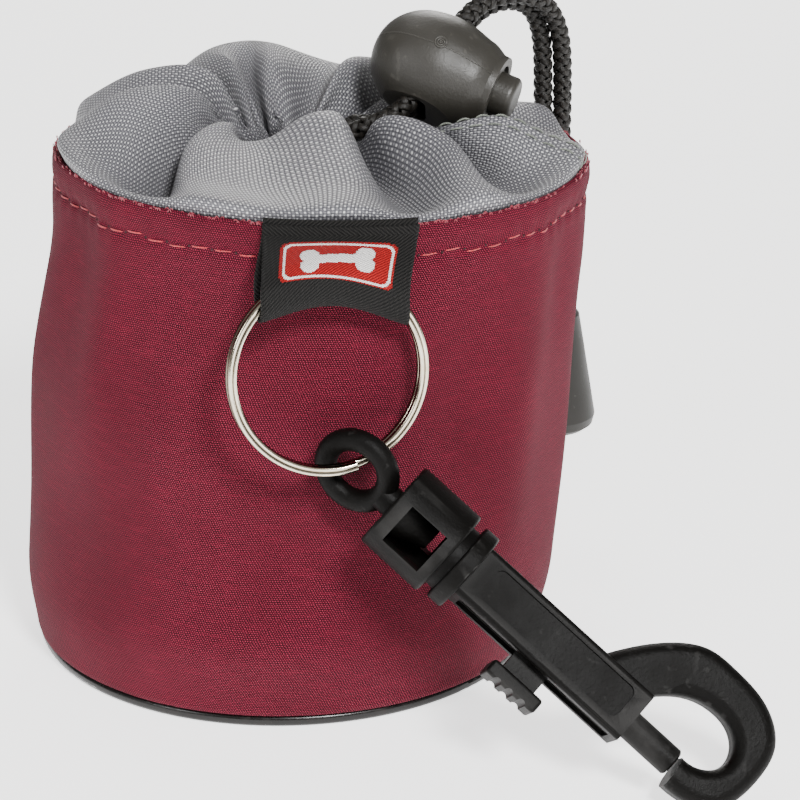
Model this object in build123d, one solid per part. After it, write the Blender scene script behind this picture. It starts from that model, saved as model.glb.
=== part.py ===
from build123d import *
import os
from math import cos, pi, radians, sin, tan

os.makedirs("parts", exist_ok=True)

# A drawstring treat pouch: a round fabric bag on a stiff base, closed by a gathered collar, with a
# split ring and a swivel snap hook hung from a folded label tab. Millimetres, +Z up. The origin is
# the centre of the base disc on the surface that the pouch stands on, and -Y is the label's side.

# ---- driving dimensions: bag ----
BAG_RADIUS = 34.9          # outer radius at the rim
BAG_TOP = 67.2             # height of the wall's top edge
WALL_BOTTOM = 1.9
WALL_THICK = 1.0
LINING_GAP = 0.7
LINING_THICK = 0.5
LINING_TOP = 63.0
BASE_RADIUS = 34.4
BASE_THICK = 1.6
STIFFENER_RADIUS = 32.4
STIFFENER_THICK = 1.2
LEAN_TOP = 5.6             # the wall leans this far towards +X at the rim

# height, share of the lean, outer radius: the wall's own slump
WALL_SECTIONS = [
    (WALL_BOTTOM, 0.0, BASE_RADIUS + 0.3),
    (9.0, 0.1, BAG_RADIUS + 1.3),
    (24.0, 0.3, BAG_RADIUS + 1.0),
    (40.0, 0.55, BAG_RADIUS + 0.7),
    (56.0, 0.95, BAG_RADIUS + 0.1),
    (BAG_TOP, 1.0, BAG_RADIUS),
]

# ---- driving dimensions: gathered collar ----
COLLAR_THICK = 1.2
MOUTH = Vector(-1.5, 0, 71.3)      # centre of the gathered mouth
HEM_RING = 8.6                     # radius of the draw cord's loop in the hem
HEM_TUBE = 2.6                     # outer radius of the hem around the cord
HEM_TILT = 7.0
# centre x, centre z, radius, tilt in degrees: right side lower than the left
COLLAR_SECTIONS = [
    (LEAN_TOP, BAG_TOP + 0.35, BAG_RADIUS - 0.5, 1.5),
    (5.4, 69.9, 31.0, 4.0),
    (3.5, 71.1, 20.5, 7.0),
    (0.5, 71.8, 11.5, 8.0),
]

# ---- driving dimensions: draw cord, lock and end ----
CORD_DIA = 2.6
CORD_PAIR = 1.35                   # half the distance between the two strands
TAIL_LEAD = 5.5                    # a tail's free run before it turns up into the lock
LOCK_CENTRE = Vector(20.6, 5.0, 76.9)
LOCK_PLUNGE = Vector(0.908, -0.293, -0.301)
LOCK_CORD = Vector(0.42, 0.584, 0.696)
LOCK_HALF = 6.4                    # half height along the cords
LOCK_NOSE = 8.8
PLUNGER_RADIUS = 3.7
BUTTON_RADIUS = 2.9                # the part of the plunger that stands out of the nose
NOSE_RADIUS = 4.9
PLUNGER_TAIL = 3.4                 # how far the plunger reaches past the cords
PLUNGER_PROUD = 2.6
PLUNGER_TRAVEL = 2.4
BELL_CENTRE = Vector(37.8, 24.6, 0)
BELL_BOTTOM = 19.0
BELL_TOP = 37.0
BELL_RADIUS = 6.5
KNOT_TOP = 32.4

# ---- driving dimensions: split ring ----
RING_CENTRE = Vector(7.2, -40.0, 50.6)
RING_RADIUS = 11.9                 # to the middle of the wire
RING_YAW = 16.0
RING_LEAN = 7.0
RING_PITCH = 1.0
RING_TURNS = 1.94
WIRE_WIDE = 1.2
WIRE_THICK = 0.92
EYE_AROUND = 14.0                  # the eye hangs this many degrees right of the ring's bottom

# ---- driving dimensions: label tab ----
TAB_LEFT = -8.2
TAB_RIGHT = 9.9
TAB_THICK = 0.5
TAB_LOOP = 1.6                     # inner radius of the folded loop

# ---- driving dimensions: swivel snap hook, along its own axis from the eye's centre ----
HOOK_AXIS = Vector(0.739, -0.262, -0.620)
HOOK_SLOT_SIDE = Vector(-0.638, -0.485, -0.597)
EYE_RING = 4.2
EYE_WIRE = 1.4
EYE_TWIST = 37.0
EYE_DROP = 0.9                     # how far the eye's centre hangs past the ring's wire
BARREL_START = 5.9
BARREL_END = 15.1
BARREL_RADIUS = 5.9
STEM_RADIUS = 1.9
FLANGE_START = 16.3
FLANGE_END = 18.5
FLANGE_RADIUS = 5.45
BODY_END = 44.7
BODY_WIDE = 7.1
BODY_DEEP = 6.8
BOW_SCALE = 1.034
BOW_DEEP = 5.0
BOLT_RADIUS = 1.85
BOLT_OFFSET = 0.5
BOLT_REACH = 7.2
BOLT_TRAVEL = 7.0
SPRING_END = 17.2
KNOB_FROM_END = 13.4
KNOB_LONG = 7.7
KNOB_OUT = 8.0
STEM_OUT = 6.4
STEM_HALF = 2.45
WINDOW_TURN = 28.0
WINDOW_SIZE = 5.6
PANEL_WIDE = 4.5
RUNNING = 0.08                     # radial clearance of what slides


def unit(vector):
    return vector.normalized()


def save(shape, node):
    export_step(shape, "parts/" + node + ".step")


def disc_stack(sections, inset=0.0, ruled=False):
    """A solid through round sections: (centre x, centre z, radius, tilt)."""
    faces = []
    for centre_x, height, radius, tilt in sections:
        tip = (sin(radians(tilt)), 0, cos(radians(tilt)))
        plane = Plane(origin=(centre_x, 0, height), x_dir=(0, 1, 0), z_dir=tip)
        faces.append(plane * Circle(radius - inset))
    return loft(faces, ruled=ruled)


# ---- bag ----
def wall_sections():
    return [(LEAN_TOP * share, z, radius, 1.5 * z / BAG_TOP) for z, share, radius in WALL_SECTIONS]


def wall_solid(inset):
    return disc_stack(wall_sections(), inset)


def outer_shell():
    return wall_solid(0) - wall_solid(WALL_THICK)


def base_panel():
    disc = Pos(0, 0, BASE_THICK / 2) * Cylinder(BASE_RADIUS, BASE_THICK)
    return fillet(disc.edges().filter_by(GeomType.CIRCLE), 0.7)


def base_stiffener():
    low = BASE_THICK + 0.3
    disc = Pos(0, 0, low + STIFFENER_THICK / 2) * Cylinder(STIFFENER_RADIUS, STIFFENER_THICK)
    return chamfer(disc.edges().filter_by(GeomType.CIRCLE), 0.2)


def inner_lining():
    """An open cup: its rim ends under the collar's seam, its floor lies on the stiffener."""
    inset = WALL_THICK + LINING_GAP
    low = BASE_THICK + STIFFENER_THICK + 0.6
    outside = [(0, low, STIFFENER_RADIUS, 0)] + [
        (x, z, radius - inset - 0.3, tilt) for x, z, radius, tilt in wall_sections()[1:-1]]
    outside.append((LEAN_TOP, LINING_TOP, BAG_RADIUS - inset - 0.3, 1.4))
    inside = [(x, z, radius - LINING_THICK, tilt) for x, z, radius, tilt in outside]
    inside[0] = (0, low + LINING_THICK, STIFFENER_RADIUS - LINING_THICK, 0)
    inside.append((LEAN_TOP, LINING_TOP + 1, inside[-1][2], 1.4))
    return disc_stack(outside, ruled=True) - disc_stack(inside, ruled=True)


def hem_plane():
    tip = (sin(radians(HEM_TILT)), 0, cos(radians(HEM_TILT)))
    return Plane(origin=MOUTH, x_dir=(cos(radians(HEM_TILT)), 0, -sin(radians(HEM_TILT))), z_dir=tip)


def lowered(sections, drop, inset):
    return [(x, z - drop, radius - inset, tilt) for x, z, radius, tilt in sections]


def collar():
    dome = disc_stack(COLLAR_SECTIONS)
    hollow = disc_stack(lowered(COLLAR_SECTIONS, COLLAR_THICK, COLLAR_THICK))
    hem = hem_plane() * Torus(HEM_RING, HEM_TUBE)
    mouth = hem_plane() * Cylinder(HEM_RING - HEM_TUBE + 0.8, 30)
    channel = hem_plane() * Torus(HEM_RING, CORD_DIA / 2 + 0.6)
    shape = dome - hollow - mouth + hem - channel
    for side in (-1, 1):
        start = hem_exit(side)
        run = lock_entry(side) - start
        way = Plane(origin=start - run * 0.12, z_dir=run) * Cylinder(
            CORD_DIA / 2 + 0.35, run.length * 1.2, align=(Align.CENTER, Align.CENTER, Align.MIN))
        shape = shape - way
    return shape.solids().sort_by(SortBy.VOLUME)[-1]


# ---- draw cord ----
def lock_plane():
    return Plane(origin=LOCK_CENTRE, x_dir=LOCK_PLUNGE, z_dir=LOCK_CORD)


def strand_side():
    return unit(LOCK_CORD.cross(LOCK_PLUNGE))


def lock_entry(side):
    """Where a strand turns up into the lock."""
    return LOCK_CENTRE - unit(LOCK_CORD) * (LOCK_HALF + 1.9) + strand_side() * (side * CORD_PAIR)


def hem_exit(side):
    """Where a strand leaves the hem's ring on its straight run to the lock."""
    return hem_plane().from_local_coords(Vector(HEM_RING * 1.02, side * HEM_RING * 0.3, 0))


def tail_start(side):
    """A point of that run, where the loop in the hem ends and the free tail begins."""
    entry = lock_entry(side)
    return entry + unit(hem_exit(side) - entry) * TAIL_LEAD


def filleted_tube(points, label):
    """A round tube along straight runs joined by the largest tangent arcs that fit."""
    runs = [(b - a).length for a, b in zip(points, points[1:])]
    radii = []
    for i in range(1, len(points) - 1):
        turn = (points[i] - points[i - 1]).get_angle(points[i + 1] - points[i])
        radii.append(0.45 * min(runs[i - 1], runs[i]) / tan(radians(turn) / 2))
    path = FilletPolyline(*points, radius=radii)
    start = Plane(origin=path @ 0, z_dir=path % 0)
    tube = sweep(start * Circle(CORD_DIA / 2), path=path)
    share = tube.volume / (pi * CORD_DIA ** 2 / 4 * path.length)
    print(label, "length", round(path.length, 1), "volume share", round(share, 4))
    return tube


def draw_cord_loop():
    points = []
    for side in (-1, 1):
        end = tail_start(side)
        ring = [hem_exit(side)]
        for angle in (155, 118, 81, 46)[::-1]:
            reach = HEM_RING / cos(radians(18.5))
            spot = Vector(reach * cos(radians(angle)), side * reach * sin(radians(angle)), 0)
            ring.append(hem_plane().from_local_coords(spot))
        if side < 0:
            points = [end] + ring
        else:
            points = points + ring[::-1] + [end]
    return filleted_tube(points, "draw_cord_loop")


def tail_points(side):
    """One strand from the hem's exit, up through the lock, over, and down to the bell."""
    def apart(x, y, z):
        """The strand's place beside the pair's middle: the pair turns as it goes over."""
        return unit(Vector(x, y, z)) * (-side * CORD_PAIR)

    return [
        tail_start(side),
        lock_entry(side),
        LOCK_CENTRE + unit(LOCK_CORD) * (LOCK_HALF + 3.4) + strand_side() * (side * CORD_PAIR),
        Vector(32.5, 15.5, 84.9) + apart(0.66, -0.70, 0.45) * 1.08,
        Vector(36.6, 20.8, 79.8) + apart(0.92, -0.40, 0.0) * 1.06,
        Vector(37.2, 23.2, 69.0) + apart(1, 0, 0),
        Vector(37.0, 24.0, 56.5) + apart(1, 0, 0),
        Vector(37.5, 24.4, 45.0) + apart(1, 0, 0),
        Vector(BELL_CENTRE.X, BELL_CENTRE.Y, KNOT_TOP) + apart(1, 0, 0),
    ]


def draw_cord_tail(side, label):
    return filleted_tube(tail_points(side), label)


def cord_end_bell():
    outline = [
        (0, BELL_TOP), (3.3, BELL_TOP), (3.9, BELL_TOP - 0.8), (BELL_RADIUS, BELL_BOTTOM + 2.0),
        (BELL_RADIUS - 0.3, BELL_BOTTOM + 0.7), (BELL_RADIUS - 1.2, BELL_BOTTOM), (0, BELL_BOTTOM),
    ]
    bell = revolve(Plane.XZ * make_face(Polyline(*outline, close=True)), Axis.Z)
    hollow = [
        (0, BELL_BOTTOM - 1), (5.0, BELL_BOTTOM - 1), (4.7, BELL_BOTTOM + 4),
        (2.9, BELL_TOP - 4), (0, BELL_TOP - 4),
    ]
    inside = revolve(Plane.XZ * make_face(Polyline(*hollow, close=True)), Axis.Z)
    hole = Pos(0, 0, BELL_TOP) * extrude(SlotOverall(4 * CORD_PAIR + 0.4, CORD_DIA + 0.4), 10, both=True)
    return Pos(BELL_CENTRE.X, BELL_CENTRE.Y, 0) * (bell - inside - hole)


def cord_end_cap():
    plug = Pos(0, 0, BELL_BOTTOM + 0.4) * Cylinder(4.8, 1.4, align=(Align.CENTER, Align.CENTER, Align.MIN))
    plug = chamfer(plug.edges().group_by(Axis.Z)[0], 0.4)
    return Pos(BELL_CENTRE.X, BELL_CENTRE.Y, 0) * plug


def cord_end_knot():
    """Both strands tied together in one knot that fills the bell."""
    knot = Pos(0, 0, KNOT_TOP - 3.4) * Sphere(2.95)
    lower = Pos(0.4, 0.2, KNOT_TOP - 6.9) * Sphere(3.2)
    link = Pos(0, 0, KNOT_TOP - 1.2) * Cylinder(2.4, 2.4)
    return Pos(BELL_CENTRE.X, BELL_CENTRE.Y, 0) * (knot + lower + link)


# ---- cord lock, in its own frame: x along the plunger, z along the cords ----
def cord_slot(x_low, x_high):
    return Pos((x_low + x_high) / 2, 0, 0) * extrude(
        RectangleRounded(x_high - x_low, 4 * CORD_PAIR + 0.3, 1.3), 12, both=True)


def cord_lock_barrel():
    with BuildSketch(Plane.XZ) as profile:
        with BuildLine():
            Spline((-8.8, 0), (-7.5, 4.2), (-4.6, 6.5), (-1.0, 7.3), (2.4, 7.1), (5.6, 6.1), (7.9, 5.0),
                   tangents=((0, 1), (0.85, -0.55)))
            Line((7.9, 5.0), (LOCK_NOSE, NOSE_RADIUS))
            Line((LOCK_NOSE, NOSE_RADIUS), (LOCK_NOSE, 0))
            Line((LOCK_NOSE, 0), (-8.8, 0))
        make_face()
    ball = revolve(profile.sketch, Axis.X) & Box(40, 40, 2 * LOCK_HALF)
    bore = Pos(-7.2, 0, 0) * Rot(0, 90, 0) * Cylinder(
        PLUNGER_RADIUS + RUNNING, 30, align=(Align.CENTER, Align.CENTER, Align.MIN))
    return lock_plane() * (ball - bore - cord_slot(-2.0, CORD_DIA / 2 + 0.05))


def cord_lock_plunger():
    low = (Align.CENTER, Align.CENTER, Align.MIN)
    along = Rot(0, 90, 0)
    shank = Pos(-PLUNGER_TAIL, 0, 0) * along * Cylinder(
        PLUNGER_RADIUS, LOCK_NOSE + PLUNGER_TAIL - 0.5, align=low)
    button = Pos(0, 0, 0) * along * Cylinder(BUTTON_RADIUS, LOCK_NOSE + PLUNGER_PROUD, align=low)
    button = fillet(button.edges().group_by(Axis.X)[-1], 0.8)
    return lock_plane() * (shank + button - cord_slot(-CORD_DIA / 2 - 0.05, PLUNGER_TRAVEL + 1.4))


def coil(radius, wire, low, high, turns, plane):
    """A helical spring between two heights of a plane's own z axis."""
    height = high - low - wire
    path = Helix(pitch=height / turns, height=height, radius=radius)
    start = Plane(origin=path @ 0, z_dir=path % 0)
    return plane * (Pos(0, 0, low + wire / 2) * sweep(start * Circle(wire / 2), path=path, is_frenet=True))


def cord_lock_spring():
    axis = Plane(origin=LOCK_CENTRE, x_dir=LOCK_CORD, z_dir=LOCK_PLUNGE)
    return coil(2.6, 0.42, -7.1, -3.5, 3, axis)


# ---- split ring ----
def ring_axes():
    across = Vector(cos(radians(RING_YAW)), sin(radians(RING_YAW)), 0)
    outward = Vector(sin(radians(RING_YAW)), -cos(radians(RING_YAW)), 0)
    up = Vector(0, 0, cos(radians(RING_LEAN))) - outward * sin(radians(RING_LEAN))
    return across, up, unit(across.cross(up))


def ring_spot(angle, radius=RING_RADIUS):
    """A point of the ring, its angle in degrees from the bottom towards +X."""
    across, up, _ = ring_axes()
    return RING_CENTRE + (across * sin(radians(angle)) - up * cos(radians(angle))) * radius


def split_ring():
    across, up, front = ring_axes()
    path = Helix(pitch=RING_PITCH, height=RING_PITCH * RING_TURNS, radius=RING_RADIUS)
    start = Plane(origin=path @ 0, x_dir=(1, 0, 0), z_dir=path % 0)
    wire = start * RectangleRounded(WIRE_WIDE, WIRE_THICK, 0.3)
    ring = Pos(0, 0, -RING_PITCH * RING_TURNS / 2) * sweep(wire, path=path, is_frenet=True)
    ends = -90 + EYE_AROUND + 360 * (2 - RING_TURNS)
    place = Plane(origin=RING_CENTRE, x_dir=across, z_dir=front)
    return place * Rot(0, 0, ends) * ring


# ---- label tab ----
def tab_planes():
    across, up, front = ring_axes()
    middle = (TAB_LEFT + TAB_RIGHT) / 2
    bottom = Plane(origin=RING_CENTRE + across * middle + up * 6.9, x_dir=across, z_dir=up)
    azimuth = radians(5.0)
    rim_out = BAG_RADIUS + 0.6
    top = Plane(origin=(LEAN_TOP + rim_out * sin(azimuth), -rim_out * cos(azimuth), BAG_TOP + 0.6),
                x_dir=(cos(azimuth), sin(azimuth), 0), z_dir=(0, 0, 1))
    return bottom, top


def label_tab():
    bottom, top = tab_planes()
    wide = TAB_RIGHT - TAB_LEFT
    layer = TAB_LOOP + TAB_THICK / 2
    tab = None
    for side, stand in ((-1, TAB_THICK * 1.5), (1, TAB_THICK * 0.5)):
        strip = Pos(0, side * layer) * Rectangle(wide, TAB_THICK)
        high = top * (Pos(0, -stand) * Rectangle(wide, TAB_THICK + 0.02))
        slab = loft([bottom * strip, bottom.offset(RING_RADIUS - 5.9) * strip, high], ruled=True)
        tab = slab if tab is None else tab + slab
    fold_plane = Plane(origin=bottom.origin - bottom.x_dir * wide / 2, x_dir=bottom.y_dir, z_dir=bottom.x_dir)
    fold = fold_plane * extrude(Circle(TAB_LOOP + TAB_THICK) - Circle(TAB_LOOP), wide)
    below = bottom * (Pos(0, 0, -10) * Box(60, 20, 20))
    return tab + (fold & below)


# ---- swivel snap hook ----
def eye_centre():
    across, up, front = ring_axes()
    angle = radians(EYE_AROUND)
    along = across * cos(angle) + up * sin(angle)
    normal = eye_normal()
    narrow = unit(normal - along * normal.dot(along))
    down = unit(along.cross(narrow))
    if down.dot(HOOK_AXIS) < 0:
        down = down * -1
    return ring_spot(EYE_AROUND) + down * EYE_DROP


def eye_normal():
    side = unit(Vector(-0.670, -0.263, -0.694))
    face = unit(Vector(0.049, -0.949, 0.313))
    normal = face * cos(radians(EYE_TWIST)) + side * sin(radians(EYE_TWIST))
    axis = unit(HOOK_AXIS)
    return unit(normal - axis * normal.dot(axis))


def hook_plane():
    return Plane(origin=eye_centre(), x_dir=HOOK_SLOT_SIDE, z_dir=HOOK_AXIS)


def rod(radius, low, high):
    return Pos(0, 0, low) * Cylinder(radius, high - low, align=(Align.CENTER, Align.CENTER, Align.MIN))


def swivel_eye():
    loop = Plane(origin=eye_centre(), x_dir=HOOK_AXIS, z_dir=eye_normal()) * Torus(EYE_RING, EYE_WIRE)
    stem = rod(STEM_RADIUS, EYE_RING, BARREL_START + 1.8)
    head = Pos(0, 0, 10.0) * Cone(3.7, 1.5, 4.8)
    shoulder = fillet(rod(3.7, BARREL_START + 1.55, 7.7).edges().filter_by(GeomType.CIRCLE), 0.08)
    return loop + hook_plane() * (stem + head + shoulder)


def bow():
    """The hook's open bow, a flat outline with rounded edges. Points are (slot side, along)."""
    outer = [(-3.6, -7.4), (-10.6, -1.7), (-12.5, 1.6), (-12.8, 5.5), (-12.0, 11.0), (-8.9, 14.9),
             (-5.0, 15.7), (-1.6, 15.4), (1.6, 13.9), (3.0, 11.2), (3.4, 7.7)]
    inner = [(-0.6, 7.3), (-0.6, 8.2), (-1.5, 10.4), (-3.2, 11.6), (-5.2, 11.3), (-6.9, 9.4),
             (-7.3, 6.6), (-6.7, 4.0), (-5.0, 1.4), (-3.0, -0.4)]
    outer = [(x * BOW_SCALE, z * BOW_SCALE) for x, z in outer]
    inner = [(x * BOW_SCALE, z * BOW_SCALE) for x, z in inner]
    with BuildSketch() as outline:
        with BuildLine():
            Spline(*outer)
            Line(outer[-1], inner[0])
            Spline(*inner)
            Line(inner[-1], (-1.0, -1.5))
            Line((-1.0, -1.5), (-1.0, -7.4 * BOW_SCALE))
            Line((-1.0, -7.4 * BOW_SCALE), outer[0])
        make_face()
    plate = extrude(outline.sketch, BOW_DEEP / 2, both=True)
    long_edges = [e for e in plate.edges() if e.geom_type == GeomType.BSPLINE]
    plate = fillet(long_edges, 1.7)
    return Pos(0, 0, BODY_END) * Rot(90, 0, 0) * plate


def hook_body():
    barrel = rod(BARREL_RADIUS, BARREL_START, BARREL_END)
    barrel = fillet(barrel.edges().filter_by(GeomType.CIRCLE), 0.4)
    barrel = barrel - rod(4.3, BARREL_START + 1.4, BARREL_END - 1.0)
    barrel = barrel - rod(STEM_RADIUS + RUNNING, BARREL_START - 1, BARREL_START + 2)
    window = Pos(0, 0, (BARREL_START + BARREL_END) / 2 + 0.2) * Box(WINDOW_SIZE, 30, WINDOW_SIZE)
    barrel = barrel - Rot(0, 0, WINDOW_TURN) * window
    neck = rod(4.4, BARREL_END - 0.5, FLANGE_START + 0.5)
    flange = rod(FLANGE_RADIUS, FLANGE_START, FLANGE_END)
    flange = fillet(flange.edges().filter_by(GeomType.CIRCLE), 0.35)
    long = BODY_END - FLANGE_END
    block = Pos(0, 0, FLANGE_END + long / 2) * Box(BODY_WIDE, BODY_DEEP, long)
    block = fillet(block.edges().filter_by(Axis.Z), 0.7)
    shape = neck + flange + block + bow() + barrel
    frame = RectangleRounded(PANEL_WIDE, long - 4.2, 1.0)
    panel_place = Pos(-0.2, 0, FLANGE_END + long / 2 + 0.1) * Rot(90, 0, 0)
    panel = panel_place * extrude(frame, BODY_DEEP / 2 - 0.3)
    outline = panel_place * extrude(frame, BODY_DEEP / 2 + 1)
    bolt_bore = Pos(BOLT_OFFSET, 0, 0) * rod(BOLT_RADIUS + RUNNING, SPRING_END, BODY_END + 1)
    slot_long = BOLT_TRAVEL + 10.0
    slot_middle = BODY_END - KNOB_FROM_END - BOLT_TRAVEL / 2 + 0.8
    neck_slot = Pos(BODY_WIDE / 2, 0, slot_middle) * Box(BODY_WIDE - 2 * BOLT_OFFSET, 2.2, slot_long)
    groove = Pos(BODY_WIDE / 2, 0, 31.6) * Box(1.0, 3.6, 24.0)
    shape = shape - (outline - panel)
    return hook_plane() * (shape - bolt_bore - neck_slot - groove)


def gate_bolt():
    low = BODY_END - KNOB_FROM_END - 2.6
    bolt = rod(BOLT_RADIUS, low, BODY_END + BOLT_REACH)
    bolt = chamfer(bolt.edges().group_by(Axis.Z)[-1], 0.25)
    return hook_plane() * (Pos(BOLT_OFFSET, 0, 0) * bolt)


def thumb_slide():
    middle = BODY_END - KNOB_FROM_END
    stem_low = BOLT_OFFSET + BOLT_RADIUS - 0.2
    stem = Pos((stem_low + STEM_OUT) / 2, 0, middle) * Box(STEM_OUT - stem_low, 1.8, 2 * STEM_HALF)
    knob = Pos(KNOB_OUT - 1.0, 0, middle) * Box(2.0, 5.0, KNOB_LONG)
    knob = fillet(knob.edges(), 0.45)
    for i in range(3):
        notch = Pos(KNOB_OUT + 0.15, 0, middle + (i - 1) * 1.9) * Rot(90, 0, 0) * Cylinder(0.6, 12)
        knob = knob - notch
    return hook_plane() * (stem + knob)


def bolt_spring():
    axis = hook_plane()
    middle = axis.from_local_coords(Vector(BOLT_OFFSET, 0, 0))
    shifted = Plane(origin=middle, x_dir=axis.x_dir, z_dir=axis.z_dir)
    return coil(1.15, 0.35, SPRING_END + 0.05, BODY_END - KNOB_FROM_END - 2.65, 9, shifted)


NODES = {
    "outer_shell": outer_shell,
    "inner_lining": inner_lining,
    "base_panel": base_panel,
    "base_stiffener": base_stiffener,
    "collar": collar,
    "draw_cord_loop": draw_cord_loop,
    "draw_cord_tail_front": lambda: draw_cord_tail(-1, "draw_cord_tail_front"),
    "draw_cord_tail_rear": lambda: draw_cord_tail(1, "draw_cord_tail_rear"),
    "cord_end_bell": cord_end_bell,
    "cord_end_cap": cord_end_cap,
    "cord_end_knot": cord_end_knot,
    "cord_lock_barrel": cord_lock_barrel,
    "cord_lock_plunger": cord_lock_plunger,
    "cord_lock_spring": cord_lock_spring,
    "label_tab": label_tab,
    "split_ring": split_ring,
    "swivel_eye": swivel_eye,
    "hook_body": hook_body,
    "gate_bolt": gate_bolt,
    "thumb_slide": thumb_slide,
    "bolt_spring": bolt_spring,
}

for node, build in NODES.items():
    save(build(), node)

print("eye centre", eye_centre(), "ring contact", ring_spot(EYE_AROUND))
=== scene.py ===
from math import cos, pi, radians, sin

import bpy
import numpy as np
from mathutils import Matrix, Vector
from mathutils.bvhtree import BVHTree


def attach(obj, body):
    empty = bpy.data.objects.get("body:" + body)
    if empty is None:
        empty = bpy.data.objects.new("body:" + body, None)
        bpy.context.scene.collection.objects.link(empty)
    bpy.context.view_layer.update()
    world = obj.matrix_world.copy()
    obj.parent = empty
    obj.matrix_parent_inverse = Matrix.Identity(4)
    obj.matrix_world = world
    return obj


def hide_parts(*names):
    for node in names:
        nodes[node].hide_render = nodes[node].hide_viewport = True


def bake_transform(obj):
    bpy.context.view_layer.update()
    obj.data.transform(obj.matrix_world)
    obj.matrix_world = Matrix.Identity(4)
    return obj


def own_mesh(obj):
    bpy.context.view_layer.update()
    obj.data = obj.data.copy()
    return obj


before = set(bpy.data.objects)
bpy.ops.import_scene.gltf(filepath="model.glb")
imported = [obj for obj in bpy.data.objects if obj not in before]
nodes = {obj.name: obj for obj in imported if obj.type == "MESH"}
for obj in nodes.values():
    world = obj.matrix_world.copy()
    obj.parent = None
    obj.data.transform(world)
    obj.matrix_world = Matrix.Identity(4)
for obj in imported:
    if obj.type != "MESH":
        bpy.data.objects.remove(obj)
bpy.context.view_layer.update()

MM = 0.001
rng = np.random.default_rng(7)

# Numbers are millimetres until a mesh is made, and angles around the bag are in degrees from the
# front (-Y) towards +X.

# ---- the bag, as the CAD has it ----
BAG_TOP = 67.2
BAG_RADIUS = 34.9
RIM_LEAN = 5.6
WALL_LOW = 1.7
WALL_SECTIONS = [   # height, lean, radius
    (WALL_LOW, 0.0, 34.7), (9.0, 0.55, 36.2), (24.0, 1.7, 35.9),
    (40.0, 3.1, 35.6), (56.0, 5.3, 35.0), (BAG_TOP, 5.6, 34.9),
]
RIM_TILT = radians(1.5)
STITCH_DROP, STITCH_COUNT = 4.0, 68 # the topstitch: how far below the top edge, and all round

# ---- ring, label, cords, lock and hook, as the CAD has them ----
RING_CENTRE = np.array([7.2, -40.0, 50.6])
RING_RADIUS = 11.9
WIRE_HALF = 0.60                    # half the width of the two coils of wire
RING_YAW, RING_LEAN = radians(16.0), radians(7.0)
TAB_WIDTH = 18.1
TAB_LEFT = -8.2                     # the tab's left edge, from the ring's middle

HEM_MIDDLE = np.array([-1.5, 0, 71.3])
HEM_TILT = radians(7.0)
HEM_RING = 8.6                      # radius of the draw cord's loop
CORD_PAIR = 1.35                    # half the distance between the two tails
LOCK_CENTRE = np.array([20.6, 5.0, 76.9])
LOCK_PLUNGE = np.array([0.908, -0.293, -0.301])     # the plunger's way out
LOCK_CORD = np.array([0.42, 0.584, 0.696])          # the cords' way through
GATE_SIDE = 1                       # the side of the lock that has the mould's gate spot
BELL_CENTRE = np.array([37.8, 24.6, 0.0])
HOOK_AXIS = np.array([0.739, -0.262, -0.620])
PLUNGER_TRAVEL, BOLT_TRAVEL = 2.4, 7.0


# ======== lines and meshes ========
def unit(v):
    """A vector at length one."""
    v = np.asarray(v, float)
    return v / np.linalg.norm(v)


def units(rows):
    """Vectors along an array's last axis, each at length one."""
    return rows / (np.linalg.norm(rows, axis=-1, keepdims=True) + 1e-12)


def turn_from(azimuth, middle):
    """How far round an azimuth is from another, between -180 and 180 degrees."""
    return (azimuth - middle + 180) % 360 - 180


def run_along(line):
    """How far along a line each of its points is."""
    return np.concatenate([[0], np.cumsum(np.linalg.norm(np.diff(line, axis=0), axis=1))])


def points_at(line, run, at):
    """A line's points at these distances along it."""
    return np.stack([np.interp(at, run, line[:, k]) for k in range(3)], 1)


def link(obj):
    """Puts an object into the scene."""
    bpy.context.scene.collection.objects.link(obj)
    return obj


def mesh_object(name, points, faces, uvs=None):
    """A smooth-shaded mesh from points in millimetres; uvs are per vertex, in millimetres of cloth."""
    mesh = bpy.data.meshes.new(name)
    mesh.from_pydata((np.asarray(points, float) * MM).tolist(), [], [list(f) for f in faces])
    if uvs is not None:
        layer = mesh.uv_layers.new(name="cloth")
        loops = np.zeros(len(mesh.loops), int)
        mesh.loops.foreach_get("vertex_index", loops)
        layer.data.foreach_set("uv", np.asarray(uvs, float)[loops].ravel())
    mesh.validate()
    mesh.polygons.foreach_set("use_smooth", [True] * len(mesh.polygons))
    return link(bpy.data.objects.new(name, mesh))


def grid_faces(rows, cols, closed, offset=0, flip=False):
    """Four-sided faces between the rows and columns of a grid; a closed one joins its ends."""
    faces = []
    last = cols if closed else cols - 1
    for j in range(rows - 1):
        for i in range(last):
            k = (i + 1) % cols
            face = (j * cols + i, j * cols + k, (j + 1) * cols + k, (j + 1) * cols + i)
            faces.append(tuple(offset + v for v in (face[::-1] if flip else face)))
    return faces


def grid_object(name, grid, across, along, flip=False):
    """A mesh from a (rows, columns, 3) array, with its cloth coordinates across and along."""
    faces = grid_faces(*grid.shape[:2], False, flip=flip)
    uvs = np.stack(np.meshgrid(across, along), -1)
    return mesh_object(name, grid.reshape(-1, 3), faces, uvs.reshape(-1, 2))


def thicken(obj, thickness):
    """Gives a cloth its thickness, inward."""
    modifier = obj.modifiers.new("thickness", "SOLIDIFY")
    modifier.thickness = thickness * MM
    modifier.offset = -1


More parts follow.
